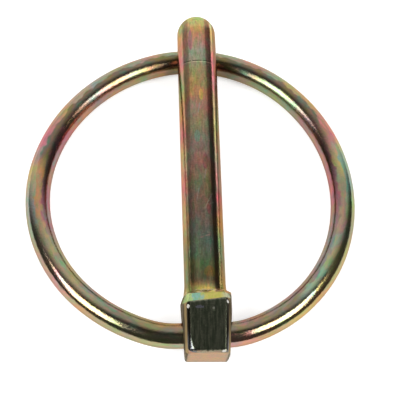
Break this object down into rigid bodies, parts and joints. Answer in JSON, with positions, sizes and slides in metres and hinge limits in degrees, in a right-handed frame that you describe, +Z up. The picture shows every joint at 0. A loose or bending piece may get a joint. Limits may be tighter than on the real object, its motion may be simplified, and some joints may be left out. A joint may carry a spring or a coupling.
{
  "type": "lynch pin",
  "caption": "Forged round pin with a block head and a sprung wire ring hinged in the head, which closes over the shaft end",
  "frame": {"origin": "on the surface the part lies on, below the middle of its box; the part lies at rest with the ring under the shank", "axes": "+Y runs along the shank toward its domed tip and +Z is up; +X is to the right when the part is seen from above with its tip away from the viewer"},
  "size_m": [0.0494, 0.0532, 0.0098],
  "materials": {
    "pin_plating": "glossy yellow passivated zinc plate with iridescent bands, over a forged surface with fine lengthwise marks",
    "ring_plating": "glossy yellow passivated zinc plate over smooth drawn wire"
  },
  "bodies": {
    "pin": {"pin": "pin_plating"},
    "ring": {"ring": "ring_plating"}
  },
  "joints": [
    {"name": "ring_hinge", "type": "hinge", "parent": "pin", "child": "ring", "pos_m": [0.00142, -0.02324, 0.00369], "axis": [-1, 0, 0], "range_deg": [0, 347.5]}
  ]
}
